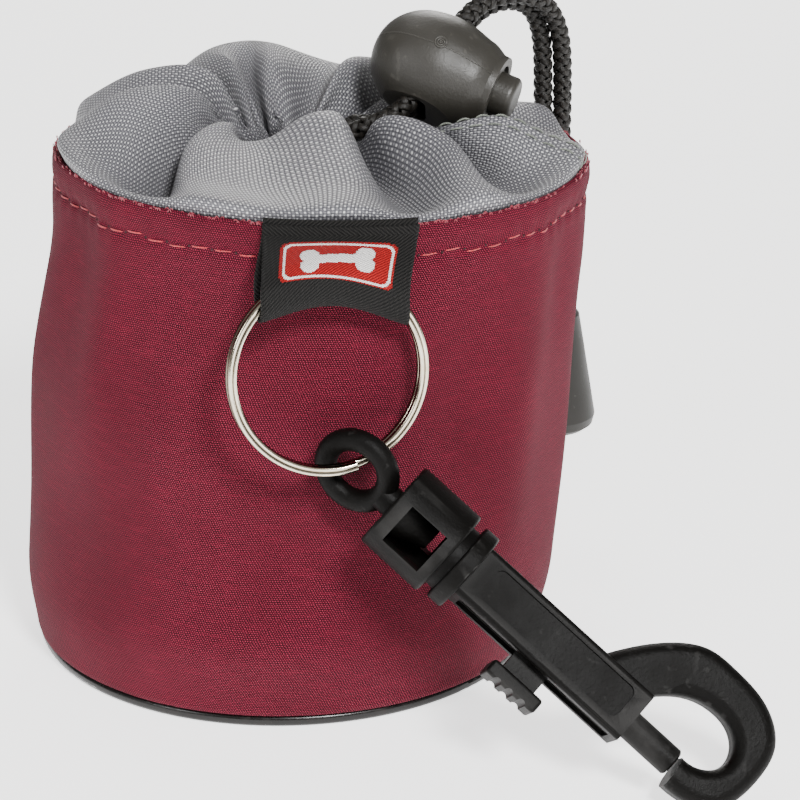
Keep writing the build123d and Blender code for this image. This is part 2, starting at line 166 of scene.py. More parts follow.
def tubes(name, paths, radius, sides=6, squash=1.0):
    """Many tubes along (n, 3) paths in one mesh, thinner at their ends."""
    points, faces, base = [], [], 0
    for path in paths:
        path = np.asarray(path, float)
        tangent = units(np.gradient(path, axis=0))
        guide = np.array([0.0, 0.0, 1.0]) if abs(tangent[0, 2]) < 0.9 else np.array([1.0, 0, 0])
        n = len(path)
        ends = np.minimum(1, np.minimum(np.arange(n), np.arange(n)[::-1]) * 0.5 + 0.35)
        for j in range(n):
            side = units(np.cross(guide, tangent[j]))
            up = np.cross(tangent[j], side)
            guide = up
            for k in range(sides):
                a = 2 * pi * k / sides
                points.append(path[j] + (side * cos(a) + up * sin(a) * squash) * radius * ends[j])
        faces += grid_faces(n, sides, True, base)
        faces.append(tuple(base + k for k in range(sides))[::-1])
        faces.append(tuple(base + (n - 1) * sides + k for k in range(sides)))
        base += n * sides
    return mesh_object(name, points, faces)


def wave_noise(x, y, seed, octaves=3):
    """Smooth seeded noise of two coordinates, periodic over 360 in x."""
    r = np.random.default_rng(seed)
    total = np.zeros(np.broadcast(x, y).shape)
    for o in range(octaves):
        for _ in range(4):
            kx = r.integers(1, 4) * 2 ** o
            ky = r.uniform(0.03, 0.09) * 2 ** o
            total += np.sin(np.radians(x) * kx + y * ky + r.uniform(0, 2 * pi)) / (2 ** o * 4)
    return total


# ======== materials ========
class Nodes:
    """Builds one material's node tree, ending in its Principled shader."""

    def __init__(self, name):
        self.material = bpy.data.materials.new(name)
        self.material.use_nodes = True
        self.tree = self.material.node_tree
        self.shader = self.tree.nodes["Principled BSDF"]

    def node(self, kind, inputs=(), **settings):
        """A new node, with values or links for its inputs by name or number."""
        node = self.tree.nodes.new(kind)
        for key, value in settings.items():
            setattr(node, key, value)
        for key, value in dict(inputs).items():
            self.put(node.inputs[key], value)
        return node

    def put(self, socket, value):
        if isinstance(value, bpy.types.NodeSocket):
            self.tree.links.new(value, socket)
        else:
            socket.default_value = value

    def math(self, operation, a, b=0.0, c=0.0):
        return self.node("ShaderNodeMath", {0: a, 1: b, 2: c}, operation=operation).outputs[0]

    def times(self, a, b):
        return self.math("MULTIPLY", a, b)

    def vector(self, operation, a, b=(0, 0, 0)):
        return self.node("ShaderNodeVectorMath", {0: a, 1: tuple(b)}, operation=operation).outputs

    def split(self, vector):
        return self.node("ShaderNodeSeparateXYZ", {0: vector}).outputs

    def stretched(self, vector, scale):
        return self.node("ShaderNodeMapping", {0: vector, "Scale": scale}).outputs[0]

    def hump(self, value):
        """0 at each whole number, rising to 1 half-way between them."""
        return self.math("SINE", self.times(self.math("FRACT", value), pi))

    def mix(self, factor, a, b):
        a, b = (c if isinstance(c, bpy.types.NodeSocket) else (*c, 1) for c in (a, b))
        return self.node("ShaderNodeMix", {0: factor, 6: a, 7: b}, data_type="RGBA").outputs[2]

    def noise(self, vector, scale, detail=3.0, rough=0.5):
        inputs = {"Vector": vector, "Scale": scale, "Detail": detail, "Roughness": rough}
        return self.node("ShaderNodeTexNoise", inputs).outputs["Fac"]

    def ramp(self, value, low, high):
        return self.node("ShaderNodeMapRange", {0: value, 1: low, 2: high}, clamp=True).outputs[0]

    def place(self):
        return self.node("ShaderNodeTexCoord").outputs["Object"]

    def cloth(self):
        return self.node("ShaderNodeUVMap", uv_map="cloth").outputs["UV"]

    def bump(self, height, distance, strength=1.0, before=None):
        inputs = {"Height": height, "Distance": distance * MM, "Strength": strength}
        if before:
            inputs["Normal"] = before
        return self.node("ShaderNodeBump", inputs).outputs["Normal"]

    def finish(self, **sockets):
        for name, value in sockets.items():
            socket = self.shader.inputs[name.replace("_", " ")]
            if isinstance(value, tuple) and len(value) == 3:
                value = (*value, 1)
            self.put(socket, value)
        return self.material


def weave_heights(n, uv, warp, weft, shear=0.0, loose=0.5):
    """A plain weave from cloth coordinates in mm: its height, and 1 where the warp is on top."""
    x, y, _ = n.split(uv)
    wobble = n.times(n.math("SUBTRACT", n.noise(uv, 0.9, 2.0), 0.5), loose)
    u = n.math("ADD", n.math("DIVIDE", n.math("MULTIPLY_ADD", y, shear, x), warp), wobble)
    v = n.math("ADD", n.math("DIVIDE", y, weft), wobble)
    cells = n.math("ADD", n.math("FLOOR", u), n.math("FLOOR", v))
    odd = n.math("MODULO", n.math("ADD", cells, 4000.0), 2.0)
    hump_u, hump_v = n.hump(u), n.hump(v)
    up = n.times(hump_u, n.math("MULTIPLY_ADD", hump_v, 0.65, 0.35))
    down = n.times(hump_v, n.math("MULTIPLY_ADD", hump_u, 0.65, 0.35))
    top = n.math("GREATER_THAN", odd, 0.5)
    below = n.times(down, n.math("SUBTRACT", 1.0, top))
    height = n.math("ADD", n.times(up, top), below)
    return height, top


def collar_cloth():
    """Grey coated oxford: a coarse weave, with painted highlights on its thread crowns, painted shade in the
    gaps between threads and painted shade in the valleys of the folds.
    """
    n = Nodes("collar_oxford")
    uv = n.cloth()
    height, top = weave_heights(n, uv, 0.46, 0.50)
    crown = n.times(n.ramp(height, 0.5, 1.0), n.math("MULTIPLY_ADD", top, 0.85, 0.15))
    broad = n.noise(n.place(), 90.0, 3.0)
    thread = n.mix(top, (0.088, 0.086, 0.100), (0.150, 0.148, 0.162))
    # painted shade: the low parts of the weave, between the threads, are mixed towards dark grey
    base = n.mix(n.ramp(height, 0.0, 0.55), (0.028, 0.027, 0.035), thread)
    # painted highlight: the thread crowns are mixed towards near white
    lit = n.mix(n.times(crown, 0.95), base, (0.80, 0.80, 0.80))
    colour = n.mix(n.ramp(broad, 0.35, 0.75), lit, n.mix(0.25, lit, (0.07, 0.065, 0.085)))
    # painted shade: the colour is darkened where ambient occlusion finds the valleys of the folds
    hollow = n.node("ShaderNodeAmbientOcclusion", {"Distance": 9.0 * MM}, samples=6)
    shaded = n.mix(0.66, colour, (0.020, 0.019, 0.024))
    colour = n.mix(n.ramp(hollow.outputs["AO"], 0.40, 0.97), shaded, colour)
    rough = n.math("MULTIPLY_ADD", crown, -0.20, 0.50)
    normal = n.bump(height, 0.12, 0.9)
    return n.finish(Base_Color=colour, Roughness=rough, Normal=normal, Sheen_Weight=0.05,
                    Sheen_Roughness=0.4, Specular_IOR_Level=0.8)


def shell_cloth():
    """Burgundy polyester: a fine slanting weave with painted highlights on its thread crowns and painted
    shade below them, slubs and darker patches.
    """
    n = Nodes("shell_burgundy")
    uv = n.cloth()
    height, top = weave_heights(n, uv, 0.32, 0.26, 0.55, 1.2)
    slub = n.noise(n.stretched(uv, (0.22, 1.9, 1.0)), 1.0, 4.0, 0.7)
    patches = n.noise(n.place(), 60.0, 3.0)
    dark = n.mix(top, (0.018, 0.0009, 0.0034), (0.054, 0.0024, 0.0084))
    # painted highlight and shade: the thread crowns are mixed towards a light red, the lower weave stays in
    # the darker tones
    lit = n.mix(n.ramp(height, 0.60, 1.0), dark, (0.36, 0.0270, 0.0640))
    lit = n.mix(n.times(n.ramp(slub, 0.50, 0.8), 0.28), lit, (0.30, 0.0100, 0.0400))
    deep = n.mix(n.times(n.ramp(patches, 0.42, 0.7), 0.30), lit, (0.045, 0.0010, 0.0055))
    normal = n.bump(height, 0.13, 0.9)
    return n.finish(Base_Color=deep, Roughness=0.75, Normal=normal, Sheen_Weight=0.05,
                    Sheen_Roughness=0.35, Sheen_Tint=(0.8, 0.10, 0.22), Specular_IOR_Level=0.12)


def thread(name, colour, light):
    """Sewing thread: two tones of fine fibre."""
    n = Nodes(name)
    fibres = n.noise(n.place(), 5200.0, 2.0, 0.6)
    normal = n.bump(fibres, 0.05, 0.6)
    return n.finish(Base_Color=n.mix(n.ramp(fibres, 0.35, 0.7), colour, light), Roughness=0.55,
                    Normal=normal, Sheen_Weight=0.3)


def twill(name, dark, light, pitch):
    """A woven label: fine slanting ribs over crosswise threads."""
    slope, cross_pitch = 0.55, 0.30
    n = Nodes(name)
    x, y, _ = n.split(n.cloth())
    rib = n.hump(n.math("DIVIDE", n.math("MULTIPLY_ADD", x, slope * 1.6, y), pitch))
    cross = n.hump(n.math("DIVIDE", n.math("MULTIPLY_ADD", y, slope, x), cross_pitch))
    height = n.times(rib, n.math("MULTIPLY_ADD", cross, 0.45, 0.55))
    fuzz = n.noise(n.place(), 2600.0, 2.0)
    # painted highlight on the ribs' crowns and painted shade in the grooves between them
    colour = n.mix(n.ramp(height, 0.3, 0.95), dark, light)
    colour = n.mix(n.times(n.ramp(fuzz, 0.5, 0.75), 0.25), colour, light)
    normal = n.bump(height, 0.12, 0.9)
    return n.finish(Base_Color=colour, Roughness=0.75, Normal=normal, Sheen_Weight=0.03,
                    Specular_IOR_Level=0.15)


def moulded(name, colour, rough, grain, edge_wear_and_highlight_strength, grain_scale, gloss):
    """Moulded plastic: fine grain, faint flow marks, and edges lightened both where they are rubbed and as a
    painted highlight.
    """
    n = Nodes(name)
    place = n.place()
    fine = n.noise(place, grain_scale, 3.0, 0.6)
    flow = n.noise(place, 130.0, 4.0, 0.6)
    specks = n.ramp(n.noise(place, 900.0, 2.0, 0.5), 0.66, 0.74)
    # edges lighter: partly rubbed by use, partly a painted highlight along them
    edge = n.ramp(n.node("ShaderNodeNewGeometry").outputs["Pointiness"], 0.515, 0.60)
    edge_wear_and_highlight = n.times(edge, n.ramp(flow, 0.3, 0.7))
    light = tuple(c * 3.0 + 0.022 for c in colour)
    shade = n.mix(n.times(edge_wear_and_highlight, edge_wear_and_highlight_strength), colour, light)
    shade = n.mix(n.times(specks, 0.30), shade, light)
    roughness = n.math("MULTIPLY_ADD", n.ramp(flow, 0.3, 0.7), 0.14, rough)
    normal = n.bump(fine, grain, 0.8)
    return n.finish(Base_Color=shade, Roughness=roughness, Normal=normal, Specular_IOR_Level=gloss)


def nickel():
    """Warm nickel plate on a wire with two rounded crowns, and painted shade in the groove between its coils.
    """
    n = Nodes("ring_nickel")
    place = n.place()
    hazy = n.noise(place, 300.0, 4.0, 0.6)
    fine = n.noise(place, 4000.0, 2.0, 0.6)
    from_middle = n.vector("SUBTRACT", place, RING_CENTRE * MM)["Vector"]
    far = n.vector("LENGTH", from_middle)["Value"]
    deep = n.vector("DOT_PRODUCT", from_middle, ring_axes()[2])["Value"]
    squares = n.times(far, far), n.times(deep, deep)
    radial = n.math("SQRT", n.math("SUBTRACT", *squares))
    across = n.math("DIVIDE", n.math("SUBTRACT", radial, RING_RADIUS * MM), WIRE_HALF * MM)
    crown = n.math("ABSOLUTE", n.math("SINE", n.times(across, pi)))
    bright = n.mix(n.ramp(hazy, 0.35, 0.7), (0.78, 0.71, 0.57), (0.52, 0.45, 0.33))
    # painted shade: dark brown in the groove between the coils, the nickel colour on their crowns
    colour = n.mix(n.ramp(crown, 0.15, 0.75), (0.085, 0.062, 0.036), bright)
    return n.finish(Base_Color=colour, Metallic=1.0,
                    Roughness=n.math("MULTIPLY_ADD", hazy, 0.14, 0.10),
                    Normal=n.bump(fine, 0.006, 0.5, n.bump(crown, 0.10, 0.6)))


def steel_wire():
    """Drawn spring steel."""
    n = Nodes("spring_wire")
    streaks = n.noise(n.place(), 1500.0, 3.0)
    return n.finish(Base_Color=n.mix(streaks, (0.45, 0.45, 0.46), (0.65, 0.65, 0.66)), Metallic=1.0,
                    Roughness=n.math("MULTIPLY_ADD", streaks, 0.2, 0.22),
                    Normal=n.bump(streaks, 0.01, 0.4))


def vinyl():
    """The black coated base: satin, finely pebbled, scuffed where it touches the table."""
    n = Nodes("base_vinyl")
    place = n.place()
    pebble = n.noise(place, 1100.0, 3.0, 0.55)
    scuff = n.ramp(n.noise(place, 170.0, 5.0, 0.7), 0.52, 0.72)
    colour = n.mix(n.times(scuff, 0.35), (0.0045, 0.0040, 0.0035), (0.026, 0.022, 0.018))
    return n.finish(Base_Color=colour, Roughness=n.math("MULTIPLY_ADD", scuff, 0.22, 0.27),
                    Normal=n.bump(pebble, 0.03, 0.6), Specular_IOR_Level=0.35)


def board():
    """Grey fibre board."""
    n = Nodes("stiff_board")
    fibres = n.noise(n.place(), 500.0, 4.0, 0.7)
    return n.finish(Base_Color=n.mix(fibres, (0.10, 0.10, 0.10), (0.2, 0.2, 0.2)), Roughness=0.8,
                    Normal=n.bump(fibres, 0.05, 0.5))


def lining():
    """Thin grey lining cloth, with soft creases painted into its colour as light and shade."""
    n = Nodes("lining_cloth")
    place = n.place()
    threads = n.noise(place, 2200.0, 2.0)
    # painted light and shade standing in for soft creases
    creases = n.noise(place, 120.0, 3.0)
    colour = n.mix(creases, (0.05, 0.05, 0.06), (0.11, 0.11, 0.13))
    return n.finish(Base_Color=colour, Roughness=0.6, Normal=n.bump(threads, 0.06, 0.6))


def cord_yarn():
    """Black polypropylene yarn: many fine filaments with a brownish light on them."""
    n = Nodes("cord_yarn")
    filament = n.noise(n.stretched(n.cloth(), (1.2, 9.0, 1.0)), 1.6, 3.0, 0.6)
    colour = n.mix(n.ramp(filament, 0.45, 0.78), (0.003, 0.0026, 0.0022), (0.032, 0.026, 0.020))
    return n.finish(Base_Color=colour, Roughness=0.45, Normal=n.bump(filament, 0.09, 0.9),
                    Specular_IOR_Level=0.32)


def paint(obj, material):
    """Gives an object, CAD node or new, one material in all its slots."""
    if not obj.data.materials:
        obj.data.materials.append(material)
    for s in obj.material_slots:
        s.material = material
    return obj


# ======== camera, lights, floor ========
LENS, SENSOR = 118.8, 36
VIEW_TARGET = (15.8, 0, 32.0)
VIEW_ELEVATION, VIEW_DISTANCE = 20.8, 360
FLOOR_HALF = 8000.0
DOME = (0.05, 0.80, 0.23, 0.32)     # sine of the elevation, from and to; strength low and high
LIGHTS = [   # name, azimuth, elevation, distance and size in metres, watts, colour
    ("key_left", -20, 38, 0.75, 0.16, 8.6, (1, 1, 1)),
    ("fill_right", 50, 24, 0.8, 0.25, 1.8, (1, 1, 1)),
    ("top_back", 160, 62, 0.7, 0.30, 0.7, (1, 0.98, 0.95)),
    ("behind", 185, 26, 0.8, 0.30, 2.6, (1, 0.98, 0.95)),
]
LIGHT_TARGET = (0.01, 0, 0.04)


def look_from(target, azimuth, elevation, distance):
    """A place at a distance from a target; azimuth 0 is the front, and it grows towards -X."""
    a, e = radians(azimuth), radians(elevation)
    away = np.array([-sin(a) * cos(e), -cos(a) * cos(e), sin(e)])
    return np.array(target) + away * distance


def point_at(obj, target):
    """Turns a camera or a lamp towards a target."""
    obj.rotation_euler = (Vector(target) - obj.location).to_track_quat("-Z", "Y").to_euler()


def camera():
    """The front view, from a little above."""
    data = bpy.data.cameras.new("camera")
    data.sensor_width = SENSOR
    data.lens = LENS
    data.clip_start = 0.01
    cam = link(bpy.data.objects.new("camera", data))
    target = np.array(VIEW_TARGET) * MM
    cam.location = look_from(target, 0, VIEW_ELEVATION, VIEW_DISTANCE * MM)
    point_at(cam, target)
    bpy.context.scene.camera = cam


def area_light(name, azimuth, elevation, distance, size, watts, colour):
    """A round soft light that points at the bag."""
    data = bpy.data.lights.new(name, "AREA")
    data.shape = "DISK"
    data.size = size
    data.energy = watts
    data.color = colour
    lamp = link(bpy.data.objects.new(name, data))
    lamp.location = look_from(LIGHT_TARGET, azimuth, elevation, distance)
    point_at(lamp, LIGHT_TARGET)


def studio():
    """A pale dome, a few soft lights and a bright paper floor."""
    world = bpy.data.worlds.new("studio")
    bpy.context.scene.world = world
    world.use_nodes = True
    tree = world.node_tree
    background = tree.nodes["Background"]
    where = tree.nodes.new("ShaderNodeTexCoord")
    split = tree.nodes.new("ShaderNodeSeparateXYZ")
    dome = tree.nodes.new("ShaderNodeMapRange")
    dome.interpolation_type = "SMOOTHSTEP"
    tree.links.new(where.outputs["Generated"], split.inputs[0])
    tree.links.new(split.outputs[2], dome.inputs[0])
    for index, value in enumerate(DOME, 1):
        dome.inputs[index].default_value = value
    tree.links.new(dome.outputs[0], background.inputs[1])
    background.inputs[0].default_value = (1.0, 0.985, 0.96, 1)
    for light in LIGHTS:
        area_light(*light)
    n = Nodes("floor_paper")
    tone = n.noise(n.place(), 4.0, 2.0)
    n.finish(Base_Color=n.mix(tone, (0.90, 0.90, 0.895), (0.93, 0.93, 0.925)), Roughness=0.9,
             Emission_Color=(1, 1, 1), Emission_Strength=1.7)
    corners = [(x * FLOOR_HALF, y * FLOOR_HALF, 0) for x, y in ((-1, -1), (1, -1), (1, 1), (-1, 1))]
    floor = mesh_object("floor", corners, [(0, 1, 2, 3)])
    paint(floor, n.material)


# ======== the draw cord ========
BRAID_RADIUS = 0.98                 # to the middle of its strands
STRAND_RADIUS = 0.40
BRAID_LIFT = 0.19                   # how far a strand rises over another
BRAID_CARRIERS, BRAID_PITCH = 3, 5.2
CORD_STEP = 0.28


def hem_exit(side):
    """Where a tail leaves the hem; side is -1 in front and 1 behind."""
    outward = np.array([cos(HEM_TILT), 0, -sin(HEM_TILT)])
    return HEM_MIDDLE + outward * HEM_RING * 1.02 + np.array([0, side * HEM_RING * 0.3, 0])


def lock_entry(side):
    """Where a tail goes into the lock."""
    across = unit(np.cross(LOCK_CORD, LOCK_PLUNGE))
    return LOCK_CENTRE - unit(LOCK_CORD) * 8.3 + across * (side * CORD_PAIR)


def tail_points(side):
    """The tail's route, as the CAD has it: hem exit, up through the lock, over, down to the bell."""
    across = unit(np.cross(LOCK_CORD, LOCK_PLUNGE))
    entry = lock_entry(side)

    def apart(x, y, z):
        return unit([x, y, z]) * (-side * CORD_PAIR)

    return [
        entry + unit(hem_exit(side) - entry) * 5.5,
        entry,
        LOCK_CENTRE + unit(LOCK_CORD) * 9.8 + across * (side * CORD_PAIR),
        np.array([32.5, 15.5, 84.9]) + apart(0.66, -0.70, 0.45) * 1.08,
        np.array([36.6, 20.8, 79.8]) + apart(0.92, -0.40, 0.0) * 1.06,
        np.array([37.2, 23.2, 69.0]) + apart(1, 0, 0),
        np.array([37.0, 24.0, 56.5]) + apart(1, 0, 0),
        np.array([37.5, 24.4, 45.0]) + apart(1, 0, 0),
        BELL_CENTRE + [0, 0, 32.4] + apart(1, 0, 0),
    ]


def nurbs_line(points, step):
    """Evenly spaced points along the smooth curve that has these control points, and its length."""
    curve = bpy.data.curves.new("route", "CURVE")
    curve.dimensions = "3D"
    curve.resolution_u = 24
    spline = curve.splines.new("NURBS")
    spline.points.add(len(points) - 1)
    for p, q in zip(spline.points, points):
        p.co = (*(np.asarray(q) * MM), 1)
    spline.order_u = 3
    spline.use_endpoint_u = True
    obj = link(bpy.data.objects.new("route", curve))
    mesh = bpy.data.meshes.new_from_object(obj)
    line = np.array([v.co for v in mesh.vertices]) / MM
    bpy.data.objects.remove(obj)
    bpy.data.meshes.remove(mesh)
    run = run_along(line)
    return points_at(line, run, np.linspace(0, run[-1], int(run[-1] / step) + 1)), run[-1]


def carried_frames(line):
    """Side and up vectors along a line, carried without twist."""
    tangent = units(np.gradient(line, axis=0))
    side = np.zeros_like(line)
    side[0] = unit(np.cross(tangent[0], [0.0, 0.3, 1.0]))
    for j in range(1, len(line)):
        side[j] = unit(side[j - 1] - tangent[j] * side[j - 1].dot(tangent[j]))
    return side, np.cross(tangent, side)


def braid(name, line, sides=7):
    """A tubular braid: carriers wind each way, over and under one another by turns."""
    side, up = carried_frames(line)
    run = run_along(line)
    wind = 2 * pi * run / BRAID_PITCH
    points, faces, uvs, base = [], [], [], 0
    for way in (-1, 1):
        for k in range(BRAID_CARRIERS):
            angle = way * wind + 2 * pi * k / BRAID_CARRIERS
            lift = BRAID_RADIUS + way * BRAID_LIFT * np.cos(BRAID_CARRIERS * wind)
            out = side * np.cos(angle)[:, None] + up * np.sin(angle)[:, None]
            centre = line + out * lift[:, None]
            along = units(np.gradient(centre, axis=0))
            flat = units(np.cross(along, out))
            thick = np.cross(flat, along)
            for q in range(sides):
                # a flat strand with a groove along its top
                a = 2 * pi * q / sides
                groove = 0.16 * np.exp(-(cos(a) / 0.3) ** 2) * (sin(a) > 0)
                wide = STRAND_RADIUS * 1.30 * cos(a)
                deep = STRAND_RADIUS * (0.66 * sin(a) - groove)
                points.append(centre + flat * wide + thick * deep)
                uvs.append(np.stack([run, np.full(len(run), q * 0.3 + k * 3.1 + way)], 1))
            n = len(line)
            ring = np.arange(base, base + n * sides).reshape(sides, n)
            for q in range(sides):
                r = ring[(q + 1) % sides]
                faces += [(ring[q][j], ring[q][j + 1], r[j + 1], r[j]) for j in range(n - 1)]
            base += n * sides
    return mesh_object(name, np.concatenate(points), faces, np.concatenate(uvs))


def draw_cords():
    """The two tails as free cords, and the run that the hem holds."""
    yarn = cord_yarn()
    bell, cap, knot = nodes["cord_end_bell"], nodes["cord_end_cap"], nodes["cord_end_knot"]
    for side, name in ((-1, "draw_cord_tail_front"), (1, "draw_cord_tail_rear")):
        line, length = nurbs_line(tail_points(side), CORD_STEP)
        obj = braid("braided_" + name, line)
        paint(obj, yarn)
        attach(obj, "pouch")
        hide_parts(name)
    hem = hem_line()
    gap = next(k for k, fold in enumerate(FOLDS) if fold[0] > 100)
    front, rear = ([tail_points(side)[0], hem_exit(side) + [1.2, 0, 0]] for side in (-1, 1))
    line, _ = nurbs_line(rear + hem[gap + 1:] + hem[:gap - 2] + front[::-1], CORD_STEP)
    loop = braid("braided_draw_cord_loop", line)
    paint(loop, yarn)
    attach(loop, "pouch")
    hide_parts("draw_cord_loop")
    paint(knot, yarn)


# ======== the bag's wall ========
def soft_profile(z):
    """Lean and radius of the wall's outside at a height: the section table, smoothed."""
    heights, *columns = zip(*WALL_SECTIONS)
    near = [np.clip(z + s, WALL_LOW, BAG_TOP) for s in np.linspace(-2.5, 2.5, 7)]
    return [np.mean([np.interp(h, heights, column) for h in near], 0) for column in columns]


SEAM_AZIMUTH = 97.0                 # the wall's own upright seam
DENTS = [   # azimuth, height, half width in degrees, half height, depth
    (-62, 57, 9, 10, -0.55), (-47, 50, 8, 13, 0.40), (-28, 57, 10, 7, -0.35), (-80, 40, 8, 16, 0.45),
    (-55, 24, 16, 9, -0.45), (-20, 38, 14, 7, 0.35), (5, 24, 18, 6, -0.40), (35, 46, 9, 14, -0.45),
    (52, 36, 8, 16, 0.45), (66, 55, 8, 10, -0.50), (80, 30, 7, 16, 0.35), (-8, 12, 24, 4, 0.35),
    (130, 50, 14, 12, -0.5), (160, 30, 18, 10, 0.5), (-150, 45, 16, 14, -0.5), (-120, 25, 14, 10, 0.4),
    (180, 58, 20, 6, -0.4), (215, 15, 18, 5, 0.35), (-95, 60, 7, 7, 0.45),
]


def wall_point(azimuth, z, out=0.0):
    """A point on the outside of the wall, with its dents, its puckered seam and its turned hem."""
    lean, radius = soft_profile(z)
    r = radius + out + 0.22 * wave_noise(azimuth, z, 3)
    for a, h, wide, high, depth in DENTS:
        turn = turn_from(azimuth, a)
        r = r + 2.2 * depth * np.exp(-(turn / wide) ** 2 - ((z - h) / high) ** 2)
    turn = turn_from(azimuth, SEAM_AZIMUTH)
    pucker = 0.35 * np.cos(z * 0.95 + 1.3 * np.sin(z * 0.21)) * np.exp(-(np.abs(turn) / 5) ** 1.5)
    r = r + pucker * np.exp(-((z - 48) / 22) ** 2) - 0.55 * np.exp(-(turn / 0.9) ** 2)
    stitch_line = BAG_TOP - STITCH_DROP
    r = r - 0.28 * np.exp(-((z - stitch_line) / 0.7) ** 2)      # the stitches pull the cloth in
    r = r + 0.25 * np.exp(-((z - BAG_TOP + 1.6) / 1.3) ** 2)    # and the fold above them stands out
    r = r + 0.10 * np.sin(np.radians(azimuth) * STITCH_COUNT) * np.exp(-((z - stitch_line) / 1.8) ** 2)
    a = np.radians(azimuth)
    x = lean + r * np.sin(a)
    y = -r * np.cos(a)
    tilt = np.sin(RIM_TILT) * (z / BAG_TOP)
    return np.stack(np.broadcast_arrays(x, y, z - (x - lean) * tilt), -1)


def rim_lift(azimuth):
    """The top edge isn't quite level: it rises and dips a little between stitches."""
    return 0.22 * wave_noise(azimuth, 0.0, 11, 4) + 0.06 * np.sin(np.radians(azimuth) * 34)


def bag_wall():
    """One wall of cloth: in over the base's edge, up the outside, over the top fold and down inside."""
    azimuth = np.linspace(-180, 180, 541)[:-1]
    rows = []
    fold = [(-2.4, WALL_LOW + 0.9), (-1.3, WALL_LOW + 0.12), (-0.5, WALL_LOW - 0.05), (-0.1, WALL_LOW + 0.25)]
    for out, z in fold:
        rows.append(wall_point(azimuth, np.full_like(azimuth, z), out))
    for z in np.linspace(WALL_LOW + 0.8, BAG_TOP - 0.35, 150):
        rows.append(wall_point(azimuth, np.full_like(azimuth, z)))
    for out, z in ((-0.12, -0.05), (-0.40, 0.12), (-0.75, 0.08), (-0.95, -0.4), (-1.0, -1.6), (-1.0, -3.6)):
        row = wall_point(azimuth, np.full_like(azimuth, BAG_TOP + z), out)
        row[:, 2] += rim_lift(azimuth) * (0.6 if z > -1 else 0.1)
        rows.append(row)
    grid = np.stack(rows)
    grid = np.concatenate([grid, grid[:, :1]], 1)
    around = np.linspace(0, 2 * pi * BAG_RADIUS, grid.shape[1])
    obj = grid_object("bag_wall_cloth", grid, around, run_along(grid[:, 0]))
    thicken(obj, 0.35)
    paint(obj, shell_cloth())
    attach(obj, "pouch")
    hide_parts("outer_shell")


def rim_stitches():
    """The red topstitch below the rim, painted shade at its needle holes, and the frayed loops on the folded
    edge.
    """
    pitch = 360 / STITCH_COUNT
    middle = np.array([5.4, 0, 0])      # of the leaning wall at the stitches' height
    arch = np.sin(np.linspace(0, pi, 9))
    paths, holes = [], []
    for k in range(STITCH_COUNT):
        a0 = k * pitch
        if abs(turn_from(a0, 5)) < 2:   # one stitch is left out, behind the label
            continue
        sag = 0.28 * sin(k * 1.7) + 0.12 * sin(k * 4.1)
        a = np.linspace(a0 + 0.55, a0 + pitch - 0.95, 9)
        line = wall_point(a, np.full(9, BAG_TOP - STITCH_DROP + sag), 0.0)
        out = units((line - middle) * [1, 1, 0])
        paths.append(line + out * (0.16 * arch - 0.04)[:, None])
        holes.append(a0 + 0.05)
    red = thread("stitch_red", (0.33, 0.007, 0.012), (0.58, 0.030, 0.036))
    obj = tubes("rim_topstitch", paths, 0.09, 6)
    paint(obj, red)
    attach(obj, "pouch")

    # painted shade: small dark marks on the cloth stand in for the shade inside the needle holes
    dots = [wall_point(np.linspace(a0 - 0.28, a0 + 0.28, 4), np.full(4, BAG_TOP - STITCH_DROP + 0.1), -0.02)
            for a0 in holes]
    pit = tubes("rim_needle_holes", dots, 0.24, 6, 0.9)
    n = Nodes("needle_hole")
    dark = n.noise(n.place(), 3000.0)
    n.finish(Base_Color=n.mix(dark, (0.012, 0.002, 0.003), (0.03, 0.004, 0.006)), Roughness=0.9)
    paint(pit, n.material)
    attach(pit, "pouch")

    loops = []
    for _ in range(420):
        a0 = rng.uniform(-180, 180)
        size = rng.uniform(0.16, 0.42)
        t = np.linspace(-0.2, pi + 0.2, 7)
        a = a0 + np.cos(t) * size * 1.1
        out = rng.uniform(-0.6, 0.10)
        line = wall_point(a, np.full(7, BAG_TOP), out)
        line[:, 2] += rim_lift(a) * 0.6 - 0.05 + np.sin(t) * size * 0.9
        loops.append(line)
    fray = tubes("rim_edge_loops", loops, 0.075, 5)
    paint(fray, thread("fray_pink", (0.16, 0.004, 0.015), (0.36, 0.020, 0.045)))
    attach(fray, "pouch")


# ======== the gathered collar ========
COLLAR_COLS = 396
COLLAR_ROWS = 40
COLLAR_HEIGHT = 36.0                # of the cloth before it is gathered
SEAM_AT = 76.0                      # azimuth of the collar's own seam
CHANNEL = 1.75                      # radius of the hem channel round the cord
